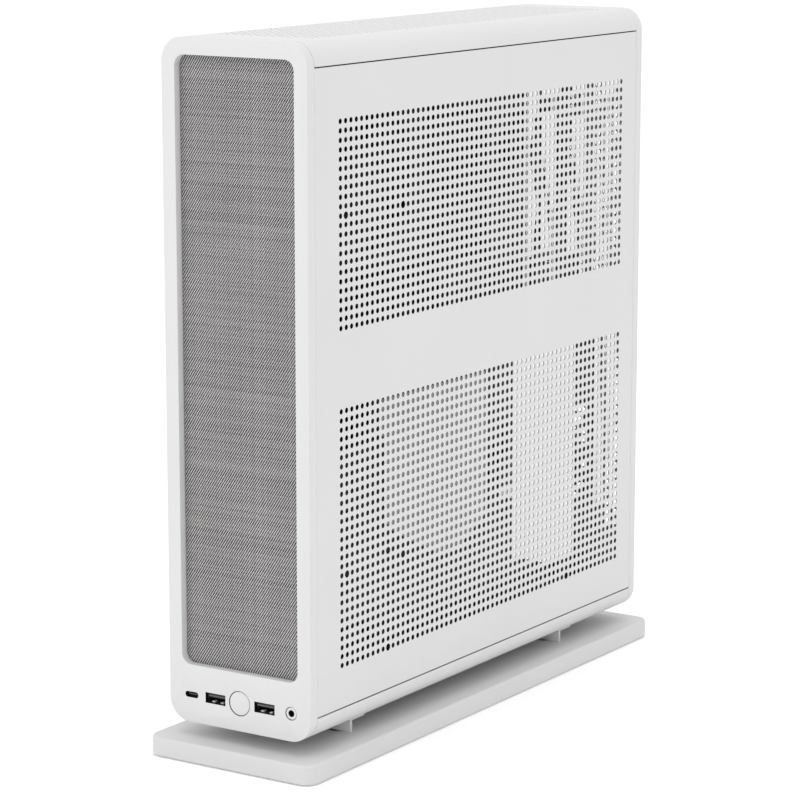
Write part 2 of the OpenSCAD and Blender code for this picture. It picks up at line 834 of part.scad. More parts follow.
module gpu_heatsink() {
    fin_n = 46;
    fin_pitch = 5;
    x0 = gpu_x + board_t + 3;
    color(silver) {
        translate([x0, gpu_y0 + 14, 68]) cube([3, 234, 108]);
        for (i = [0:fin_n - 1]) translate([x0 + 3 - eps, gpu_y0 + 18 + i * fin_pitch, 70])
            cube([8, 0.8, 104]);
    }
}

module gpu_shroud() {
    x0 = gpu_x + board_t + 1;
    wall = 2;
    color(black) {
        difference() {
            translate([x0, gpu_y0, gpu_z0 + 2])
                cube([gpu_face_x - x0, gpu_y1 - gpu_y0 - 2, gpu_z1 - gpu_z0 - 2]);
            translate([x0 - 1, gpu_y0 + wall, gpu_z0 + 2 + wall])
                cube([gpu_face_x - x0 + 1 - wall, gpu_y1 - gpu_y0, gpu_z1 - gpu_z0 - 2 - 2 * wall]);
            for (y = gpu_fan_ys) along_x([gpu_face_x - 5, y, gpu_fan_z]) cylinder(d = gpu_fan_d + 2, h = 8);
        }
        for (y = gpu_fan_ys) {
            along_x([gpu_face_x - 13, y, gpu_fan_z]) {
                cylinder(d = 24, h = 1.6);
                cylinder(d = 3, h = 9);
            }
            for (s = [-1, 1]) translate([gpu_face_x - 13, y + s * 8 - 1.2, gpu_z0 + 3])
                cube([1.6, 2.4, gpu_z1 - gpu_z0 - 4]);
        }
    }
}

// Aluminium plate over the card's front half, with a raked front edge and a slanted foot
module gpu_faceplate() {
    color(silver)
    slab_yz(gpu_face_x, 1) polygon([
        [-74.5, 190.5], [-84.5, 139], [-83, 129], [-64.5, 114], [-49.5, 106], [-34.5, 99],
        [-19.5, 92], [8, 92], [33, 104], [33, 190.5]
    ]);
}

module gpu_fan(y) {
    color(black) along_x([gpu_face_x - 13, y, gpu_fan_z]) difference() {
        union() {
            translate([0, 0, 2.2]) cylinder(d = 25, h = 9.6);
            intersection() {
                translate([0, 0, 2.6]) cylinder(d = gpu_fan_d - 1, h = 8.8);
                for (i = [0:8]) rotate(i * 40) translate([11, 0, 7]) rotate([36, 0, 0])
                    translate([0, -12, -0.5]) cube([gpu_fan_d / 2, 24, 1]);
            }
        }
        cylinder(d = 3.1, h = 9.8);
    }
}

module gpu_fan_front() {
    gpu_fan(gpu_fan_ys[0]);
}

module gpu_fan_rear() {
    gpu_fan(gpu_fan_ys[1]);
}

module gpu_backplate() {
    color(black)
    difference() {
        translate([gpu_x - 2.4, gpu_y0 + 10, gpu_z0 + 4]) cube([1.6, gpu_y1 - gpu_y0 - 12, 116]);
        for (i = [0:8]) translate([gpu_x - 4, gpu_y0 + 22 + i * 7, gpu_z0 + 40]) cube([5, 3.4, 60]);
    }
}

module gpu_slot_bracket() {
    y = rear_plate_y - 1.2;
    color(silver) {
        difference() {
            translate([slot_xs[0] - 9, y, slot_z - slot_h / 2 - 6])
                cube([slot_pitch + 18, 1, slot_h + 23]);
            for (z = [88:22:160]) translate([slot_xs[0] - 3.6, y - 1, z]) cube([7.2, 3, 17]);
            for (z = [86:7:164]) translate([slot_xs[1] - 5, y - 1, z]) cube([10, 3, 3.6]);
        }
        translate([slot_xs[0] - 9, y - 10, slot_z + slot_h / 2 + 16])
            cube([slot_pitch + 18, 10 + eps, 1]);
    }
}

// Outline in YZ from places on the lattice of the panel's holes: column and row
module lattice_outline(points) {
    polygon([for (p = points) [mesh_y0 + p[0] * hole_pitch, mesh_z0 - p[1] * hole_pitch]]);
}

module web(w) {
    lattice_outline([[w[0], w[2]], [w[1], w[2]], [w[4], w[5]], [w[3], w[5]]]);
}

// White plate beside the card and two straps behind it, hanging from the shelf
module gpu_holder() {
    color(white) {
        slab_yz(plate_x, sheet_t) {
            lattice_outline([
                [35.8, 29], [49.8, 29], [49.8, 55.9], [48.8, 56.9], [44, 56.7], [38.6, 55], [35.8, 54.5]
            ]);
            for (w = lower_webs) web(w);
            translate([35, shelf_z - 3]) square([118, 3]);
        }
        translate([plate_x - 14, 35, shelf_z - sheet_t]) cube([14 + eps, 118, sheet_t]);
        for (y = [50, 80]) translate([gpu_face_x + 1.4, y, 112])
            cube([plate_x - gpu_face_x - 1.4 + eps, 10, 6]);
    }
}

module riser_socket() {
    color(black)
    difference() {
        translate([gpu_x - 3.4, riser_y0, gpu_z0 - 18]) cube([8.4, 89, 12.5]);
        translate([gpu_x - 0.2, riser_y0 + 1, gpu_z0 - 8]) cube([board_t + 0.4, 87, 4]);
    }
}

// Flat ribbon from the board's slot down through the shelf and behind the card
module riser_ribbon() {
    plug_x = board_face_x + 11.3;
    drop_x = plug_x + 6.8;
    turn_z = 196;
    color("dimgray")
    translate([0, ribbon_y0 + ribbon_w, 0]) rotate([90, 0, 0]) linear_extrude(ribbon_w) {
        translate([plug_x, board_z0 + 3]) square([8, 7.4]);
        translate([drop_x, turn_z]) square([1.2, board_z0 + 4 - turn_z]);
        translate([ribbon_x, turn_z]) square([drop_x + 1.2 - ribbon_x, 1.2]);
        translate([ribbon_x, gpu_z0 - 15]) square([1.2, turn_z + 1.2 - gpu_z0 + 15]);
        translate([ribbon_x, gpu_z0 - 15]) square([gpu_x - 3.4 - ribbon_x, 1.2]);
    }
}

// ---- Case fans ----

module fan_mount_plate() {
    y0 = front_frame_y + sheet_t;
    color(white)
    slab_yz(case_fan_x - 1, 1) difference() {
        translate([y0, 42]) square([stud_ys[1] - 8 - y0, shelf_z - 42]);
        translate([stud_ys[0], stud_zs[0]]) circle(d = 9);
        for (y = case_fan_ys) translate([y, case_fan_z]) {
            circle(d = 134);
            for (a = [-1, 1], b = [-1, 1]) translate([a * 62.5, b * 62.5]) circle(d = 4.5);
        }
    }
}

module case_fan_frames() {
    color(black)
    for (y = case_fan_ys) along_x([case_fan_x, y, case_fan_z])
        fan_frame(case_fan_side, case_fan_t, 134, 42, 62.5);
}

module case_fan_rotor_front() {
    color("gray") along_x([case_fan_x, case_fan_ys[0], case_fan_z]) fan_rotor(case_fan_t, 130, 44, 9);
}

module case_fan_rotor_rear() {
    color("gray") along_x([case_fan_x, case_fan_ys[1], case_fan_z]) fan_rotor(case_fan_t, 130, 44, 9);
}

// ---- Upper bracket ----

// White plate of slanted webs between two bands, just inside the right panel
module slotted_bracket() {
    y0 = 46;
    y1 = 152;
    z0 = 229;
    z1 = 368.5;
    color(white) {
        slab_yz(plate_x, sheet_t) {
            translate([y0, z1 - 12]) square([y1 - y0, 12]);
            translate([y0, z0]) square([y1 - y0, 10]);
            for (w = upper_webs) web(w);
            // Stays between the holes' columns and rows
            for (c = [38.6, 44.6, 51.6, 57.6])
                lattice_outline([[c, -2], [c + 0.38, -2], [c + 0.38, 23], [c, 23]]);
            for (r = [2.56, 11.56, 13.56])
                lattice_outline([[38.8, r], [57.8, r], [57.8, r + 0.3], [38.8, r + 0.3]]);
        }
        for (z = [z0, z1 - sheet_t]) translate([plate_x - 12, y0, z]) cube([12 + eps, y1 - y0, sheet_t]);
    }
}

module ssd_drive() {
    color("slategray")
    translate([33.5, -163, 74]) difference() {
        cube([7, 69.8, 100]);
        for (y = [4, 65.8], z = [14, 90]) translate([-1, y, z]) rotate([0, 90, 0]) cylinder(d = 2.8, h = 4);
    }
}

base_plate();
base_pads();
stand_brackets();
stand_screws();
bottom_cover();
top_cover();
top_filter();
front_bezel();
front_fabric();
fabric_frame();
power_button();
button_switch();
front_io_board();
usb_c_port();
usb_a_ports();
audio_jack();
front_frame();
rear_panel();
mid_shelf();
side_panel_right();
right_panel_studs();
side_panel_left();
left_panel_studs();
left_filter();
motherboard_tray();
board_standoffs();
motherboard();
board_screws();
io_shield();
rear_io_ports();
cpu_heatsink();
cpu_fan_frame();
cpu_fan_rotor();
memory_modules();
psu_bracket();
psu_housing();
psu_fan_frame();
psu_fan_rotor();
psu_fan_guard();
psu_rocker();
mains_inlet();
mains_lead();
board_power_cable();
gpu_board();
gpu_heatsink();
gpu_shroud();
gpu_faceplate();
gpu_fan_front();
gpu_fan_rear();
gpu_backplate();
gpu_slot_bracket();
gpu_holder();
riser_socket();
riser_ribbon();
fan_mount_plate();
case_fan_frames();
case_fan_rotor_front();
case_fan_rotor_rear();
slotted_bracket();
ssd_drive();
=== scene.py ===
"""Slim white desktop computer tower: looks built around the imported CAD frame.

Units are metres. +X is the perforated right side, -Y the fabric front, +Z up.
"""
import math

import bmesh
import bpy
import numpy as np
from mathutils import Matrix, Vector


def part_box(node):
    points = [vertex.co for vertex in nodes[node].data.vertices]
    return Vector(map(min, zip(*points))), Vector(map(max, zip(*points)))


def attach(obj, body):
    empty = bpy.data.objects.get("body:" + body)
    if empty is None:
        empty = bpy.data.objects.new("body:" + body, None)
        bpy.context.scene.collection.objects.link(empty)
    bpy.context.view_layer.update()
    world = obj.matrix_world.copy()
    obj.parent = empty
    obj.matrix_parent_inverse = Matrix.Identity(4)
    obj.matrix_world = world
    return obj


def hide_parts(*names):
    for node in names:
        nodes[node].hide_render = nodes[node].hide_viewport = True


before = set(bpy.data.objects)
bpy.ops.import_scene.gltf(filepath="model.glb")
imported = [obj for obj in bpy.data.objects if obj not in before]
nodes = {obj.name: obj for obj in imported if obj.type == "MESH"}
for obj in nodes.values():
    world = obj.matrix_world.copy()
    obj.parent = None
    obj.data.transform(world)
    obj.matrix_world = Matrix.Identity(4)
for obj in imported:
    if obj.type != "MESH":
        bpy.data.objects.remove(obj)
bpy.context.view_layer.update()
MM = 0.001

# ------------------------------------------------------------------ places from the frame, and sizes
bezel_lo, bezel_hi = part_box("front_bezel")
top_lo, top_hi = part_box("top_cover")
bottom_lo, bottom_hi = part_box("bottom_cover")
base_lo, base_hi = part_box("base_plate")
fabric_lo, fabric_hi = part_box("front_fabric")

HALF_W = bezel_hi.x
BODY_TOP = bezel_hi.z
EDGE_R = 13 * MM
COVER_EDGE_H = 13.05 * MM
SHEET_T = 1.2 * MM
PANEL_T = 0.4 * MM
HOLE_PITCH = 5 * MM
HOLE_R = 1.5 * MM
TOP_HOLE_R = 1.15 * MM
ACCESS_R = 2.05 * MM
HOLE_COLS = 61
UPPER_ROWS = 23
GAP_ROWS = 8
LOWER_ROWS = 29
TOP_COLS = 13
BOTTOM_FIELD = (12, 50)  # first and last lattice row of the bottom cover's sparse holes
TINY = 1e-6
MESH_Y0 = bezel_lo.y + 29.85 * MM
MESH_Z0 = BODY_TOP - 42.8 * MM
# Column and row of the larger holes
ACCESS_HOLES = {(1, 10), (12, 10), (1, 49), (9, 48), (12, 49), (9, 59), (48, 59)}


# ------------------------------------------------------------------ materials
def shader(name, colour, roughness, metallic=0.0, specular=0.5):
    """A node material with its constants on the Principled sockets. Returns (material, tree, bsdf)."""
    material = bpy.data.materials.new(name)
    material.use_nodes = True
    tree = material.node_tree
    bsdf = tree.nodes["Principled BSDF"]
    bsdf.inputs["Base Color"].default_value = (*colour, 1)
    bsdf.inputs["Roughness"].default_value = roughness
    bsdf.inputs["Metallic"].default_value = metallic
    bsdf.inputs["Specular IOR Level"].default_value = specular
    return material, tree, bsdf


def add(tree, kind, **inputs):
    """A node with some of its inputs set. Keys with a leading underscore are attributes of the node."""
    node = tree.nodes.new(kind)
    for key, value in inputs.items():
        if key.startswith("_"):
            setattr(node, key[1:], value)
        else:
            node.inputs[key.replace("__", " ")].default_value = value
    return node


def coordinates(tree, scale=(1, 1, 1)):
    where = add(tree, "ShaderNodeTexCoord")
    mapping = add(tree, "ShaderNodeMapping", Scale=scale)
    tree.links.new(where.outputs["Object"], mapping.inputs["Vector"])
    return mapping.outputs["Vector"]


def noise(tree, vector, scale, detail=2.0, roughness=0.5):
    node = add(tree, "ShaderNodeTexNoise", Scale=scale, Detail=detail, Roughness=roughness)
    tree.links.new(vector, node.inputs["Vector"])
    return node.outputs["Fac"]


def ramp(tree, factor, low, high, at=(0.0, 1.0)):
    node = add(tree, "ShaderNodeValToRGB")
    node.color_ramp.elements[0].position = at[0]
    node.color_ramp.elements[1].position = at[1]
    node.color_ramp.elements[0].color = (*low, 1)
    node.color_ramp.elements[1].color = (*high, 1)
    tree.links.new(factor, node.inputs["Fac"])
    return node.outputs["Color"]


def value_range(tree, factor, low, high):
    node = add(tree, "ShaderNodeMapRange")
    node.inputs["To Min"].default_value = low
    node.inputs["To Max"].default_value = high
    tree.links.new(factor, node.inputs["Value"])
    return node.outputs["Result"]


def bump(tree, bsdf, height, strength, distance):
    node = add(tree, "ShaderNodeBump", Strength=strength, Distance=distance)
    tree.links.new(height, node.inputs["Height"])
    tree.links.new(node.outputs["Normal"], bsdf.inputs["Normal"])


def tint(colour, factor):
    return tuple(min(1.0, c * factor) for c in colour)


def speckled(name, colour, roughness, metallic=0.0, specular=0.5, grain=900.0, depth=0.02 * MM, spread=0.04,
             strength=0.35):
    """Coated or moulded surface: a fine grain in the bump, slow drifts in colour and roughness."""
    material, tree, bsdf = shader(name, colour, roughness, metallic, specular)
    vector = coordinates(tree)
    fine = noise(tree, vector, grain, 3.0)
    slow = noise(tree, vector, 14.0, 3.0)
    tree.links.new(ramp(tree, slow, tint(colour, 1 - spread), tint(colour, 1 + spread), (0.3, 0.7)),
                   bsdf.inputs["Base Color"])
    tree.links.new(value_range(tree, fine, roughness - 0.06, roughness + 0.08), bsdf.inputs["Roughness"])
    bump(tree, bsdf, fine, strength, depth)
    return material


def brushed(name, colour, roughness, stretch, metallic=1.0):
    """Metal with fine lines along one axis; stretch shrinks the noise across it."""
    material, tree, bsdf = shader(name, colour, roughness, metallic)
    lines = noise(tree, coordinates(tree, stretch), 60.0, 4.0, 0.7)
    tree.links.new(ramp(tree, lines, tint(colour, 0.86), tint(colour, 1.08), (0.25, 0.75)),
                   bsdf.inputs["Base Color"])
    tree.links.new(value_range(tree, lines, roughness - 0.08, roughness + 0.12), bsdf.inputs["Roughness"])
    bump(tree, bsdf, lines, 0.15, 0.02 * MM)
    return material


POWDER_WHITE = speckled("powder_white", (0.655, 0.655, 0.66), 0.50,
                        grain=1500.0, depth=0.012 * MM, spread=0.01)
BRACKET_WHITE = speckled("bracket_white", (0.68, 0.68, 0.685), 0.5,
                         grain=1200.0, depth=0.02 * MM, spread=0.01)
CARD_GREY = speckled("card_grey", (0.34, 0.34, 0.345), 0.5, grain=1200.0, depth=0.02 * MM, spread=0.03)
CONTACT_GREY = speckled("contact_grey", (0.16, 0.16, 0.155), 0.4, metallic=0.2, grain=900.0, spread=0.1)
SPRING_METAL = speckled("spring_metal", (0.72, 0.71, 0.69), 0.35, metallic=0.3, grain=900.0, spread=0.05)
# Black: real plastic on the socket tongues, painted shade on the socket shells and on hole, bore and groove
# walls
SOCKET_BLACK_AND_SHADE = speckled("socket_black_and_shade", (0.008, 0.008, 0.009), 0.45, grain=900.0, spread=0.1)
# A weak glow stands for the light that reaches the plates behind the mesh
for material, glow in ((BRACKET_WHITE, 0.42), (CARD_GREY, 0.13)):
    lit = material.node_tree.nodes["Principled BSDF"]
    lit.inputs["Emission Color"].default_value = (1, 1, 1, 1)
    lit.inputs["Emission Strength"].default_value = glow
PLASTIC_WHITE = speckled("plastic_white", (0.655, 0.655, 0.66), 0.42,
                         grain=2200.0, depth=0.010 * MM, spread=0.01)
BASE_WHITE = speckled("base_white", (0.61, 0.61, 0.615), 0.48, grain=1400.0, depth=0.012 * MM, spread=0.015)
RUBBER = speckled("black_rubber", (0.025, 0.025, 0.026), 0.75, grain=700.0, spread=0.15)
PLASTIC_BLACK = speckled("black_plastic", (0.018, 0.018, 0.019), 0.5, grain=900.0, spread=0.15)
FAN_GREY = speckled("fan_grey", (0.05, 0.05, 0.052), 0.42, grain=700.0, spread=0.1)
STEEL_BLACK = speckled("black_steel", (0.016, 0.016, 0.017), 0.45, grain=1300.0, spread=0.15, depth=0.03 * MM)
NICKEL = brushed("nickel", (0.62, 0.61, 0.59), 0.3, (1, 30, 1))
ALUMINIUM = brushed("aluminium", (0.66, 0.66, 0.67), 0.38, (1, 1, 26))
BRASS = brushed("brass", (0.72, 0.52, 0.24), 0.3, (1, 20, 1))


def circuit_board():
    """Dark solder mask with faint copper tracks under it."""
    colour = (0.012, 0.015, 0.016)
    material, tree, bsdf = shader("circuit_board", colour, 0.35)
    vector = coordinates(tree)
    cells = add(tree, "ShaderNodeTexVoronoi", Scale=260.0)
    cells.feature = "DISTANCE_TO_EDGE"
    cells.distance = "CHEBYCHEV"
    tree.links.new(vector, cells.inputs["Vector"])
    tree.links.new(ramp(tree, cells.outputs["Distance"], (0.03, 0.036, 0.036), colour, (0.0, 0.12)),
                   bsdf.inputs["Base Color"])
    bump(tree, bsdf, cells.outputs["Distance"], 0.2, 0.03 * MM)
    return material


CIRCUIT = circuit_board()


def nylon_mesh(name, colour):
    """Fine square netting, drawn by two crossing waves."""
    material, tree, bsdf = shader(name, colour, 0.7)
    vector = coordinates(tree)
    heights = []
    for direction in ("Y", "Z"):
        wave = add(tree, "ShaderNodeTexWave", Scale=320.0)
        wave.bands_direction = direction
        tree.links.new(vector, wave.inputs["Vector"])
        heights.append(wave.outputs["Fac"])
    both = add(tree, "ShaderNodeMath", _operation="MULTIPLY")
    tree.links.new(heights[0], both.inputs[0])
    tree.links.new(heights[1], both.inputs[1])
    tree.links.new(ramp(tree, both.outputs[0], tint(colour, 0.6), colour), bsdf.inputs["Base Color"])
    bump(tree, bsdf, both.outputs[0], 0.5, 0.1 * MM)
    return material


# Dark grey for hole walls and sheet rims: painted shade, standing for the shadow inside the holes and seams
PAINTED_SHADE_EDGE = speckled("painted_shade_edge", (0.09, 0.09, 0.091), 0.6, grain=1500.0, spread=0.2)
FILTER_WHITE = nylon_mesh("filter_white", (0.8, 0.8, 0.8))
FILTER_BLACK = nylon_mesh("filter_black", (0.012, 0.012, 0.012))


# ------------------------------------------------------------------ mesh helpers
def new_object(name, verts, faces, material, smooth_angle=None):
    mesh = bpy.data.meshes.new(name)
    mesh.from_pydata([tuple(v) for v in verts], [], faces)
    mesh.validate()
    mesh.update()
    obj = bpy.data.objects.new(name, mesh)
    bpy.context.scene.collection.objects.link(obj)
    obj.data.materials.append(material)
    if smooth_angle is not None:
        shade(obj, smooth_angle)
    return obj


def shade(obj, angle_deg):
    """Smooth shading with sharp edges where faces meet at more than this angle."""
    mesh = obj.data
    bm = bmesh.new()
    bm.from_mesh(mesh)
    limit = math.radians(angle_deg)
    for f in bm.faces:
        f.smooth = True
    for e in bm.edges:
        e.smooth = len(e.link_faces) == 2 and e.calc_face_angle(0) < limit
    bm.to_mesh(mesh)
    bm.free()


def place(obj, body, slot, *replaced):
    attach(obj, body)
    if replaced:
        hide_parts(*replaced)


# Angles in degrees
BEVEL_ANGLE = 35
FLAT_ANGLE = 0.5
SHEET_SMOOTH = 30
SHELL_SMOOTH = 32
BLOCK_SMOOTH = 35


def softened(node, name, body, slot, material, width, segments=2, fine=None, painted=None):
    """A copy of a CAD node with its edges rounded over, which stands for the node.

    fine(point) gives the share of the width that the edges there take.
    painted(centre, normal) picks the faces that take black painted shade.
    """
    mesh = nodes[node].data.copy()
    mesh.materials.clear()
    obj = bpy.data.objects.new(name, mesh)
    bpy.context.scene.collection.objects.link(obj)
    bm = bmesh.new()
    bm.from_mesh(mesh)
    bmesh.ops.remove_doubles(bm, verts=bm.verts, dist=TINY)
    bmesh.ops.dissolve_limit(bm, angle_limit=math.radians(FLAT_ANGLE), verts=bm.verts, edges=bm.edges)
    weight = bm.edges.layers.float.new("bevel_weight_edge")
    for e in bm.edges:
        if len(e.link_faces) == 2 and e.calc_face_angle(0) > math.radians(BEVEL_ANGLE):
            e[weight] = fine((e.verts[0].co + e.verts[1].co) / 2) if fine else 1.0
    bm.to_mesh(mesh)
    bm.free()
    if mesh.has_custom_normals:
        bpy.context.view_layer.objects.active = obj
        with bpy.context.temp_override(object=obj, active_object=obj):
            bpy.ops.mesh.customdata_custom_splitnormals_clear()
    modifier = obj.modifiers.new("edges", "BEVEL")
    modifier.width = width
    modifier.segments = segments
    modifier.limit_method = "WEIGHT"
    modifier.use_clamp_overlap = True
    depsgraph = bpy.context.evaluated_depsgraph_get()
    result = bpy.data.meshes.new_from_object(obj.evaluated_get(depsgraph))
    obj.modifiers.clear()
    obj.data = result
    result.name = name
    result.materials.clear()
    result.materials.append(material)
    if painted:
        result.materials.append(SOCKET_BLACK_AND_SHADE)
        for polygon in result.polygons:
            if painted(polygon.center, polygon.normal):
                polygon.material_index = 1
    shade(obj, SHELL_SMOOTH)
    place(obj, body, slot, node)


def rounded_outline(half_w, half_h, radius, arc_steps):
    """Points of a rounded rectangle about the origin, going round once."""
    points = []
    for cx, cy, start in ((half_w - radius, half_h - radius, 0), (radius - half_w, half_h - radius, 90),
                          (radius - half_w, radius - half_h, 180), (half_w - radius, radius - half_h, 270)):
        for k in range(arc_steps + 1):
            a = math.radians(start + 90 * k / arc_steps)
            points.append((cx + radius * math.cos(a), cy + radius * math.sin(a)))
    return points


def loft(rings):
    """Faces between rings of equal length, with the first and last filled."""
    verts = [p for ring in rings for p in ring]
    n = len(rings[0])
    faces = []
    for k in range(len(rings) - 1):
        for i in range(n):
            j = (i + 1) % n
            faces.append((k * n + i, k * n + j, (k + 1) * n + j, (k + 1) * n + i))
    faces.append(tuple(range(n))[::-1])
    faces.append(tuple((len(rings) - 1) * n + i for i in range(n)))
    return verts, faces


# ------------------------------------------------------------------ perforated sheets
class Sheet:
    """A thin sheet laid out on a lattice of lines in u and v. A cell is plain or has a round hole.

    where(u, v, depth) gives the point in space: depth 0 is the outer face, 1 the inner.
    """

    HOLE_STEPS = 4

    def __init__(self, us, vs, holes, where):
        self.us, self.vs, self.where = us, vs, where
        self.verts, self.faces, self.cache = [], [], {}
        self.walls, self.rims = [], []  # faces in the holes, and at the edges that run along u
        for i in range(len(us) - 1):
            for j in range(len(vs) - 1):
                radius = holes(i, j)
                if radius:
                    self.hole_cell(i, j, radius)
                else:
                    for depth in (0, 1):
                        self.face([self.corner(i, j, depth), self.corner(i + 1, j, depth),
                                   self.corner(i + 1, j + 1, depth), self.corner(i, j + 1, depth)], depth)
        self.rim()

    def face(self, ring, depth):
        self.faces.append(tuple(ring) if depth == 0 else tuple(ring[::-1]))

    def add(self, point):
        self.verts.append(point)
        return len(self.verts) - 1

    def corner(self, i, j, depth):
        key = (i, j, depth)
        if key not in self.cache:
            self.cache[key] = self.add(self.where(self.us[i], self.vs[j], depth))
        return self.cache[key]

    def hole_cell(self, i, j, radius):
        u, v = (self.us[i] + self.us[i + 1]) / 2, (self.vs[j] + self.vs[j + 1]) / 2
        steps = self.HOLE_STEPS
        rings = []
        for depth in (0, 1):
            ring = []
            for k in range(4 * steps):
                a = math.radians(225 + 90 * k / steps)
                ring.append(self.add(self.where(u + radius * math.cos(a), v + radius * math.sin(a), depth)))
            rings.append(ring)
            corners = [self.corner(i, j, depth), self.corner(i + 1, j, depth),
                       self.corner(i + 1, j + 1, depth), self.corner(i, j + 1, depth)]
            for q in range(4):
                arc = [ring[(q * steps + k) % (4 * steps)] for k in range(steps + 1)]
                self.face([corners[q], corners[(q + 1) % 4]] + arc[::-1], depth)
        n = 4 * steps
        for k in range(n):
            self.walls.append(len(self.faces))
            self.faces.append((rings[0][k], rings[0][(k + 1) % n], rings[1][(k + 1) % n], rings[1][k]))

    def rim(self):
        nu, nv = len(self.us) - 1, len(self.vs) - 1
        border = ([(i, 0) for i in range(nu)] + [(nu, j) for j in range(nv)]
                  + [(i, nv) for i in range(nu, 0, -1)] + [(0, j) for j in range(nv, 0, -1)])
        for a, b in zip(border, border[1:] + border[:1]):
            if a[0] != b[0]:
                self.rims.append(len(self.faces))
            self.faces.append((self.corner(*b, 0), self.corner(*a, 0),
                               self.corner(*a, 1), self.corner(*b, 1)))


def edge_lines(low, high, radius, steps=4):
    """Extra lattice lines close to both ends, so that the sheet's edges can be rolled over."""
    inset = [radius * (1 - math.cos(math.radians(90 * k / steps))) for k in range(steps + 1)]
    return [low + d for d in inset], [high - d for d in inset[::-1]]


def rolled(distance, radius):
    """How far the outer face falls back at this distance from the sheet's edge."""
    if distance >= radius:
        return 0.0
    return radius - math.sqrt(max(0.0, radius * radius - (radius - distance) ** 2))


ROLL = 0.25 * MM
field_y = [MESH_Y0 + (i - 0.5) * HOLE_PITCH for i in range(HOLE_COLS + 1)]
lower_top_row = UPPER_ROWS + GAP_ROWS
last_row = lower_top_row + LOWER_ROWS - 1
lower_z = [MESH_Z0 - (last_row + 0.5 - i) * HOLE_PITCH for i in range(LOWER_ROWS + 1)]
upper_z = [MESH_Z0 - (UPPER_ROWS - 0.5 - i) * HOLE_PITCH for i in range(UPPER_ROWS + 1)]


def side_panel(name, side, node, body, access):
    """Perforated sheet with rolled edges. side is +1 for the right panel and -1 for the left."""
    lo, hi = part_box(node)
    outer = HALF_W
    y_front, y_rear = edge_lines(lo.y, hi.y, ROLL)
    z_low, z_high = edge_lines(lo.z, hi.z, ROLL)
    ys = y_front + field_y + y_rear
    zs = z_low + lower_z + upper_z + z_high
    first_col = len(y_front)
    first_lower = len(z_low)
    first_upper = first_lower + len(lower_z)

    def holes(i, j):
        col = i - first_col
        if not 0 <= col < HOLE_COLS:
            return 0
        if first_lower <= j < first_lower + LOWER_ROWS:
            row = last_row - (j - first_lower)
        elif first_upper <= j < first_upper + UPPER_ROWS:
            row = UPPER_ROWS - 1 - (j - first_upper)
        else:
            return 0
        return ACCESS_R if access and (col, row) in ACCESS_HOLES else HOLE_R

    def where(y, z, depth):
        if depth:
            return (side * (outer - PANEL_T), y, z)
        fall = max(rolled(min(y - lo.y, hi.y - y), ROLL), rolled(min(z - lo.z, hi.z - z), ROLL))
        return (side * (outer - fall), y, z)

    sheet = Sheet(ys, zs, holes, where)
    faces = sheet.faces if side > 0 else [f[::-1] for f in sheet.faces]
    obj = new_object(name, sheet.verts, faces, POWDER_WHITE, SHEET_SMOOTH)
    # Hole walls and rims take the dark painted shade material
    obj.data.materials.append(PAINTED_SHADE_EDGE)
    for k in sheet.walls + sheet.rims:
        obj.data.polygons[k].material_index = 1
    place(obj, body, "painted_steel", node)


side_panel("right_panel_sheet", 1, "side_panel_right", "right_panel", True)
side_panel("left_panel_sheet", -1, "side_panel_left", "left_panel", False)


def cover_lines(arc_steps=10):
    """Arc-length lines across a cover: side skirt, curved edge, flat, curved edge, side skirt."""
    skirt = COVER_EDGE_H - EDGE_R
    flat_half = HALF_W - EDGE_R
    arc = EDGE_R * math.pi / 2
    half_holes = TOP_COLS * HOLE_PITCH / 2
    lines = [-(flat_half + arc + skirt)]
    lines += [-(flat_half + arc * (1 - k / arc_steps)) for k in range(arc_steps + 1)]
    lines += [-half_holes + k * HOLE_PITCH for k in range(TOP_COLS + 1)]
    lines += [flat_half + arc * k / arc_steps for k in range(arc_steps + 1)]
    lines += [flat_half + arc + skirt]
    return lines, flat_half, arc


def cover(name, node, top):
    """Curved cover with a perforated flat, mirrored for the bottom one."""
    lo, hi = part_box(node)
    us, flat_half, arc = cover_lines()
    ys = [lo.y] + field_y + [hi.y]
    level = hi.z if top else lo.z
    way = 1 if top else -1

    def where(u, y, depth):
        t = SHEET_T * depth
        s = abs(u)
        sign = 1 if u >= 0 else -1
        if s <= flat_half:
            x, z = s, EDGE_R - t
        elif s <= flat_half + arc:
            a = (s - flat_half) / EDGE_R
            x, z = flat_half + (EDGE_R - t) * math.sin(a), (EDGE_R - t) * math.cos(a)
        else:
            x, z = flat_half + EDGE_R - t, -(s - flat_half - arc)
        return (sign * x, y, level + way * (z - EDGE_R))

    field_start = -TOP_COLS * HOLE_PITCH / 2 - TINY
    first = min(i for i, u in enumerate(us) if u > field_start and abs(u) < flat_half - TINY)

    def holes(i, j):
        inside = first <= i < first + TOP_COLS and 1 <= j <= HOLE_COLS
        sparse = BOTTOM_FIELD[0] <= j <= BOTTOM_FIELD[1] and j % 2 and i % 2
        return TOP_HOLE_R if inside and (top or sparse) else 0

    sheet = Sheet(us, ys, holes, where)
    faces = sheet.faces if top else [f[::-1] for f in sheet.faces]
    obj = new_object(name, sheet.verts, faces, POWDER_WHITE, SHEET_SMOOTH)
    # Rims take the dark painted shade material
    obj.data.materials.append(PAINTED_SHADE_EDGE)
    for k in sheet.rims:
        obj.data.polygons[k].material_index = 1
    place(obj, "case", "painted_steel", node)


cover("top_cover_sheet", "top_cover", True)
cover("bottom_cover_sheet", "bottom_cover", False)


LIP_GAP = 0.05 * MM
LIP_DEPTH = 1.6 * MM
LIP_FOLD = 0.4 * MM
LIP_ROOT = 1 * MM
LIP_NECK = 11 * MM


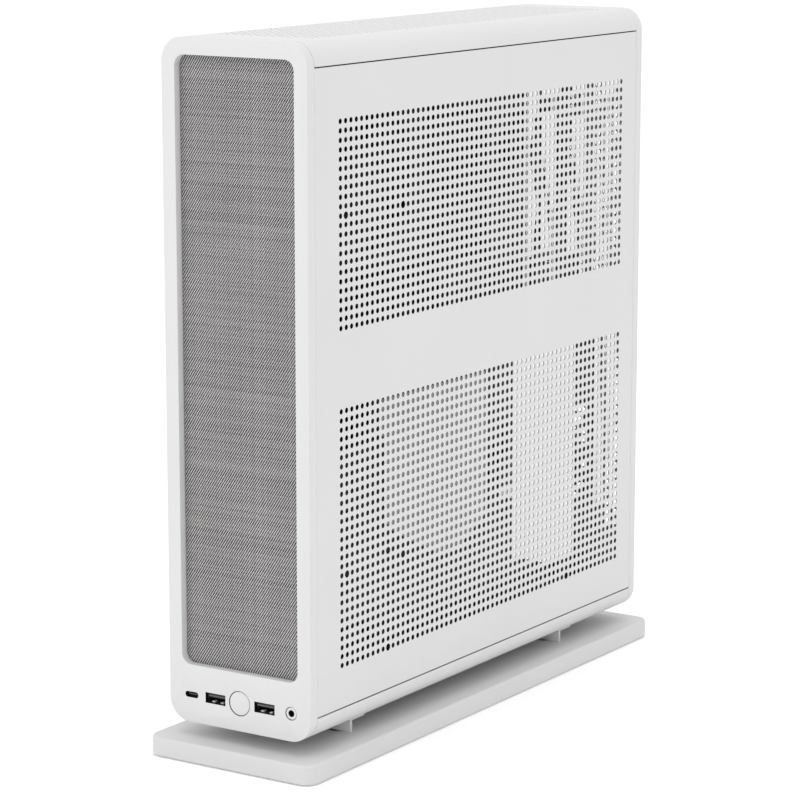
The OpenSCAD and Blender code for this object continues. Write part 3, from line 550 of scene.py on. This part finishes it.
def cover_lips():
    """Folded lips behind the panels' edges, joined to the covers; their black is painted shade for the seams.
    """
    for name, lo, hi, up in (("top_cover_lips", top_lo, top_hi, True),
                             ("bottom_cover_lips", bottom_lo, bottom_hi, False)):
        verts, faces = [], []
        inner = HALF_W - SHEET_T
        z_free = lo.z if up else hi.z
        z_root = hi.z - EDGE_R + LIP_ROOT if up else lo.z + EDGE_R - LIP_ROOT
        z_neck = (z_root + (lo.z + LIP_NECK if up else hi.z - LIP_NECK)) / 2
        for side in (-1, 1):
            profile = [(inner - LIP_GAP, z_root), (inner - LIP_DEPTH, z_root), (inner - LIP_DEPTH, z_free),
                       (inner - LIP_FOLD, z_free), (inner - LIP_FOLD, z_neck)]
            profile = [(side * x, z) for x, z in profile]
            rings = [[(x, y, z) for x, z in profile] for y in (lo.y + MM, hi.y - MM)]
            v, f = loft(rings)
            faces += [tuple(i + len(verts) for i in face) for face in f]
            verts += v
        obj = new_object(name, verts, faces, STEEL_BLACK, SHEET_SMOOTH)
        bm = bmesh.new()
        bm.from_mesh(obj.data)
        bmesh.ops.recalc_face_normals(bm, faces=bm.faces)
        bm.to_mesh(obj.data)
        bm.free()
        place(obj, "case", "black_steel")


cover_lips()


# ------------------------------------------------------------------ base plate
BASE_ROLL = 1.6 * MM
BASE_EASE = 0.5 * MM
BASE_CORNER = 8 * MM
ROLL_STEPS = 6
EASE_STEPS = 3


def base_plate():
    """Slab with rounded corners; the top edge is rolled over and the bottom edge slightly eased."""
    half = ((base_hi.x - base_lo.x) / 2, (base_hi.y - base_lo.y) / 2)
    centre = ((base_hi.x + base_lo.x) / 2, (base_hi.y + base_lo.y) / 2)
    profile = []
    for k in range(EASE_STEPS + 1):
        a = math.radians(90 * k / EASE_STEPS)
        profile.append((BASE_EASE * (1 - math.sin(a)), base_lo.z + BASE_EASE * (1 - math.cos(a))))
    for k in range(ROLL_STEPS + 1):
        a = math.radians(90 * k / ROLL_STEPS)
        profile.append((BASE_ROLL * (1 - math.cos(a)), base_hi.z - BASE_ROLL * (1 - math.sin(a))))
    rings = []
    for inset, z in profile:
        outline = rounded_outline(half[0] - inset, half[1] - inset, BASE_CORNER - inset, 12)
        rings.append([(centre[0] + x, centre[1] + y, z) for x, y in outline])
    verts, faces = loft(rings)
    obj = new_object("base_plate_body", verts, faces, BASE_WHITE, SHEET_SMOOTH)
    place(obj, "case", "painted_steel", "base_plate")


base_plate()


# ------------------------------------------------------------------ front fabric
FABRIC_TOP = fabric_lo.y
THREAD_W = 0.52 * MM
THREAD_H = 0.78 * MM
TWILL = 3
FABRIC_PLAY = 0.1 * MM
FABRIC_CORNER = 5.6 * MM
FABRIC_SINK = 0.25 * MM
WARP_CROWN = 0.16 * MM
WEFT_CROWN = 0.12 * MM


def woven_material():
    """Two-tone twill: each crossing shows the light warp or the dark weft, with a soft fuzz over both."""
    material, tree, bsdf = shader("grey_weave", (0.3, 0.29, 0.29), 0.85, specular=0.2)
    attribute = add(tree, "ShaderNodeAttribute", _attribute_name="light_thread")
    vector = coordinates(tree)
    fuzz = noise(tree, vector, 2600.0, 3.0, 0.7)
    drift = noise(tree, vector, 30.0, 2.0)
    light = ramp(tree, drift, (0.69, 0.67, 0.672), (0.74, 0.72, 0.722), (0.3, 0.7))
    dark = ramp(tree, drift, (0.024, 0.022, 0.023), (0.034, 0.031, 0.032), (0.3, 0.7))
    mix = add(tree, "ShaderNodeMix", _data_type="RGBA")
    tree.links.new(attribute.outputs["Fac"], mix.inputs["Factor"])
    tree.links.new(dark, mix.inputs["A"])
    tree.links.new(light, mix.inputs["B"])
    tree.links.new(mix.outputs["Result"], bsdf.inputs["Base Color"])
    bump(tree, bsdf, fuzz, 0.4, 0.04 * MM)
    return material


def front_fabric():
    """Woven sheet in a 2/1 twill: a light thread shows at each third crossing, one step on in each row."""
    lo, hi = fabric_lo, fabric_hi
    half_w = (hi.x - lo.x) / 2 - FABRIC_PLAY
    half_h = (hi.z - lo.z) / 2 - FABRIC_PLAY
    cz = (hi.z + lo.z) / 2
    columns, rows = round(2 * half_w / THREAD_W), round(2 * half_h / THREAD_H)
    nx, nz = 2 * columns, 2 * rows
    xs = np.linspace(-half_w, half_w, nx + 1)
    zs = np.linspace(-half_h, half_h, nz + 1)
    gx, gz = np.meshgrid(xs, zs, indexing="ij")
    across, up = np.meshgrid(np.arange(nx + 1), np.arange(nz + 1), indexing="ij")
    light_crossing = ((across // 2 - up // 2) % TWILL) == 0
    crown = np.where(light_crossing, across % 2, up % 2)
    height = np.where(light_crossing, WARP_CROWN, WEFT_CROWN) * crown
    corner = FABRIC_CORNER
    dx = np.clip(np.abs(gx) - (half_w - corner), 0, None)
    dz = np.clip(np.abs(gz) - (half_h - corner), 0, None)
    keep = np.hypot(dx, dz) <= corner
    y = FABRIC_TOP + FABRIC_SINK - height
    verts = np.stack([gx, y, gz + cz], -1).reshape(-1, 3)
    index = np.arange((nx + 1) * (nz + 1)).reshape(nx + 1, nz + 1)
    inside = keep[:-1, :-1] & keep[1:, :-1] & keep[1:, 1:] & keep[:-1, 1:]
    quads = np.stack([index[:-1, :-1], index[1:, :-1], index[1:, 1:], index[:-1, 1:]], -1)[inside]
    thread_tones = np.random.default_rng(11)
    warp_tone = thread_tones.uniform(0.78, 1.0, nx // 2 + 1)[across // 2]
    weft_tone = thread_tones.uniform(0.0, 0.12, nz // 2 + 1)[up // 2]
    light = np.where(light_crossing, warp_tone, weft_tone)[:-1, :-1][inside]
    used, renamed = np.unique(quads, return_inverse=True)
    quads = renamed.reshape(-1, 4)
    mesh = bpy.data.meshes.new("front_fabric_weave")
    mesh.from_pydata(verts[used].tolist(), [], quads.tolist())
    attribute = mesh.attributes.new("light_thread", "FLOAT", "FACE")
    attribute.data.foreach_set("value", light.astype(np.float32))
    mesh.materials.append(woven_material())
    mesh.update()
    obj = bpy.data.objects.new("front_fabric_weave", mesh)
    bpy.context.scene.collection.objects.link(obj)
    for polygon in mesh.polygons:
        polygon.use_smooth = True
    place(obj, "bezel", "grey_textile", "front_fabric")


front_fabric()


# ------------------------------------------------------------------ shell parts with rounded edges
jack_lo, jack_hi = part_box("audio_jack")
usb_lo, usb_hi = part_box("usb_a_ports")
usb_c_lo, usb_c_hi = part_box("usb_c_port")
SOCKET_Z = (usb_c_lo.z + usb_c_hi.z) / 2
FRONT_Y = bezel_lo.y
SOCKET_ROW_H = 7.5 * MM
SOCKET_ROW_HALF_W = 39 * MM
JACK_BORE_R = 2 * MM
WALL_TILT = 0.3  # faces whose normal has less Y than this count as walls


def in_socket_row(point):
    return abs(point.z - SOCKET_Z) < SOCKET_ROW_H and abs(point.x) < SOCKET_ROW_HALF_W


def bezel_edges(point):
    return 0.25 if in_socket_row(point) else 1.0


def bezel_hole_walls(centre, normal):
    """Walls of the holes in the socket row, from just behind the face; they take black painted shade."""
    return in_socket_row(centre) and abs(normal.y) < WALL_TILT and centre.y > FRONT_Y + 0.25 * MM


# Bore walls of the jack, painted black as painted shade
def jack_bore(centre, normal):
    middle = Vector(((jack_lo.x + jack_hi.x) / 2, centre.y, SOCKET_Z))
    return (centre - middle).length < JACK_BORE_R and abs(normal.y) < 0.9


# Walls of the groove round the button, painted black as painted shade
def button_walls(centre, normal):
    return abs(normal.y) < WALL_TILT and centre.y > FRONT_Y + 0.4 * MM


softened("front_bezel", "front_bezel_shell", "bezel", "white_plastic", PLASTIC_WHITE,
         width=0.7 * MM, segments=3, fine=bezel_edges, painted=bezel_hole_walls)
softened("rear_panel", "rear_panel_shell", "case", "painted_steel", POWDER_WHITE, width=0.3 * MM)
softened("stand_brackets", "stand_bracket_plates", "case", "painted_steel", POWDER_WHITE, width=0.25 * MM)
softened("power_button", "power_button_cap", "power_button", "white_plastic", PLASTIC_WHITE,
         width=0.3 * MM, segments=3, painted=button_walls)
# The steel socket shells are black as painted shade of the sockets' insides
softened("usb_a_ports", "usb_a_shells", "case", "bright_steel", SOCKET_BLACK_AND_SHADE, width=0.2 * MM)
softened("usb_c_port", "usb_c_shell", "case", "bright_steel", SOCKET_BLACK_AND_SHADE, width=0.1 * MM)
softened("audio_jack", "audio_jack_barrel", "case", "white_plastic", PLASTIC_WHITE,
         width=0.3 * MM, segments=3, painted=jack_bore)

BLOCK_EASE = 0.05 * MM


def boxes(name, places, material, body, slot):
    """Small eased blocks in one object, from pairs of lowest and highest corners."""
    bm = bmesh.new()
    for lo, hi in places:
        size = Vector(hi) - Vector(lo)
        made = bmesh.ops.create_cube(bm, size=1.0)["verts"]
        bmesh.ops.scale(bm, vec=size, verts=made)
        bmesh.ops.translate(bm, vec=(Vector(lo) + Vector(hi)) / 2, verts=made)
    bmesh.ops.bevel(bm, geom=bm.edges[:], offset=BLOCK_EASE, segments=2, affect="EDGES", profile=0.5)
    mesh = bpy.data.meshes.new(name)
    bm.to_mesh(mesh)
    bm.free()
    obj = bpy.data.objects.new(name, mesh)
    bpy.context.scene.collection.objects.link(obj)
    mesh.materials.append(material)
    shade(obj, BLOCK_SMOOTH)
    place(obj, body, slot)


USB_A_SHELL_W = 14.4 * MM
USB_A_PITCH = 1.25 * MM
USB_C_PITCH = 0.95 * MM


def socket_contacts():
    """Tongues with their contacts, and the springs at the bottom of the wider sockets."""
    tongues, contacts, springs = [], [], []
    half_span = (usb_hi.x - usb_lo.x - USB_A_SHELL_W) / 2
    middle = (usb_hi.x + usb_lo.x) / 2
    y = FRONT_Y + 1.3 * MM
    for x0 in (middle - half_span, middle + half_span):
        tongues.append(((x0 - 5.6 * MM, y, SOCKET_Z + 0.3 * MM),
                        (x0 + 5.6 * MM, usb_lo.y + 1.2 * MM, SOCKET_Z + 2.2 * MM)))
        for k in range(9):
            x = x0 + (k - 4) * USB_A_PITCH
            contacts.append(((x - 0.38 * MM, y - 0.1 * MM, SOCKET_Z + 0.8 * MM),
                             (x + 0.38 * MM, y + 0.3 * MM, SOCKET_Z + 1.5 * MM)))
        for side in (-1, 1):
            x = x0 + side * 2.9 * MM
            springs.append(((x - 0.9 * MM, usb_lo.y - 0.6 * MM, SOCKET_Z - 2.79 * MM),
                            (x + 0.9 * MM, usb_lo.y + 2.5 * MM, SOCKET_Z - 2.1 * MM)))
    x0 = (usb_c_lo.x + usb_c_hi.x) / 2
    y = FRONT_Y + 1.4 * MM
    tongues.append(((x0 - 3.3 * MM, y, SOCKET_Z - 0.35 * MM),
                    (x0 + 3.3 * MM, usb_c_lo.y + 0.9 * MM, SOCKET_Z + 0.35 * MM)))
    for k in range(6):
        x = x0 + (k - 2.5) * USB_C_PITCH
        contacts.append(((x - 0.3 * MM, y - 0.06 * MM, SOCKET_Z - 0.22 * MM),
                         (x + 0.3 * MM, y + 0.3 * MM, SOCKET_Z + 0.22 * MM)))
    boxes("socket_tongues", tongues, SOCKET_BLACK_AND_SHADE, "case", "black_plastic")
    boxes("socket_contacts", contacts, CONTACT_GREY, "case", "bright_steel")
    boxes("socket_springs", springs, SPRING_METAL, "case", "bright_steel")


socket_contacts()

NODE_LOOKS = {
    POWDER_WHITE: ["top_cover", "bottom_cover", "side_panel_right", "side_panel_left", "base_plate"],
    BRACKET_WHITE: ["gpu_holder", "slotted_bracket"],
    FILTER_WHITE: ["top_filter"],
    FILTER_BLACK: ["left_filter"],
    RUBBER: ["base_pads", "mains_lead", "board_power_cable"],
    PLASTIC_BLACK: ["fabric_frame", "button_switch", "cpu_fan_frame", "cpu_fan_rotor", "psu_fan_frame",
                    "psu_fan_rotor", "psu_rocker", "mains_inlet", "gpu_shroud", "gpu_fan_front",
                    "gpu_fan_rear", "riser_socket", "case_fan_frames", "front_fabric"],
    FAN_GREY: ["case_fan_rotor_front", "case_fan_rotor_rear"],
    CIRCUIT: ["front_io_board", "motherboard", "gpu_board", "memory_modules", "riser_ribbon"],
    NICKEL: ["stand_screws", "right_panel_studs", "left_panel_studs", "board_screws", "io_shield",
             "rear_io_ports", "gpu_slot_bracket", "usb_a_ports", "usb_c_port"],
    BRASS: ["board_standoffs"],
    ALUMINIUM: ["cpu_heatsink", "gpu_heatsink"],
    CARD_GREY: ["gpu_faceplate"],
    STEEL_BLACK: ["ssd_drive", "psu_housing", "psu_fan_guard", "gpu_backplate", "front_frame", "mid_shelf",
                  "motherboard_tray", "psu_bracket", "fan_mount_plate"],
    PLASTIC_WHITE: ["front_bezel", "power_button", "audio_jack", "stand_brackets", "rear_panel"],
}
for look, names in NODE_LOOKS.items():
    for n in names:
        nodes[n].data.materials.clear()
        nodes[n].data.materials.append(look)


# ------------------------------------------------------------------ camera, light and floor
FLOOR_HALF = 20.0
FLOOR_GLOW = 0.12
WORLD_STRENGTH = 1.0
LIGHT_TARGET = (0, 0, 0.2)
# Name, place, side and power of the square area lights
SOFTBOXES = (("front_softbox", (-1.1, -2.2, 1.1), 1.6, 8.0), ("top_softbox", (0.2, -0.2, 2.6), 1.8, 14.0))
CAMERA_AT = (0.95052, -1.45910, 0.50571)
CAMERA_HEADING = 2.153433
CAMERA_PITCH = -0.187399
CAMERA_LENS = 137.016
SENSOR_W = 36.0


def floor():
    material, tree, bsdf = shader("floor_white", (0.93, 0.93, 0.93), 0.9, specular=0.1)
    bsdf.inputs["Emission Color"].default_value = (1, 1, 1, 1)
    bsdf.inputs["Emission Strength"].default_value = FLOOR_GLOW
    paper = noise(tree, coordinates(tree), 40.0, 4.0)
    tree.links.new(value_range(tree, paper, 0.85, 0.95), bsdf.inputs["Roughness"])
    corners = [(x * FLOOR_HALF, y * FLOOR_HALF, 0) for x, y in ((-1, -1), (1, -1), (1, 1), (-1, 1))]
    new_object("floor", corners, [(0, 1, 2, 3)], material)


def light_room():
    world = bpy.data.worlds.new("studio")
    bpy.context.scene.world = world
    world.use_nodes = True
    background = world.node_tree.nodes["Background"]
    background.inputs["Color"].default_value = (1, 1, 1, 1)
    background.inputs["Strength"].default_value = WORLD_STRENGTH
    for name, position, size, power in SOFTBOXES:
        light = bpy.data.lights.new(name, "AREA")
        light.shape = "RECTANGLE"
        light.size = size
        light.size_y = size
        light.energy = power
        obj = bpy.data.objects.new(name, light)
        obj.location = position
        aim = Vector(LIGHT_TARGET) - Vector(position)
        obj.rotation_euler = aim.to_track_quat("-Z", "Y").to_euler()
        bpy.context.scene.collection.objects.link(obj)


def place_camera():
    camera = bpy.data.cameras.new("camera")
    camera.lens = CAMERA_LENS
    camera.sensor_width = SENSOR_W
    camera.clip_end = 50
    obj = bpy.data.objects.new("camera", camera)
    obj.location = CAMERA_AT
    level = math.cos(CAMERA_PITCH)
    direction = Vector((level * math.cos(CAMERA_HEADING), level * math.sin(CAMERA_HEADING),
                        math.sin(CAMERA_PITCH)))
    obj.rotation_euler = direction.to_track_quat("-Z", "Y").to_euler()
    bpy.context.scene.collection.objects.link(obj)
    bpy.context.scene.camera = obj
    bpy.context.scene.view_settings.view_transform = "Standard"


floor()
light_room()
place_camera()
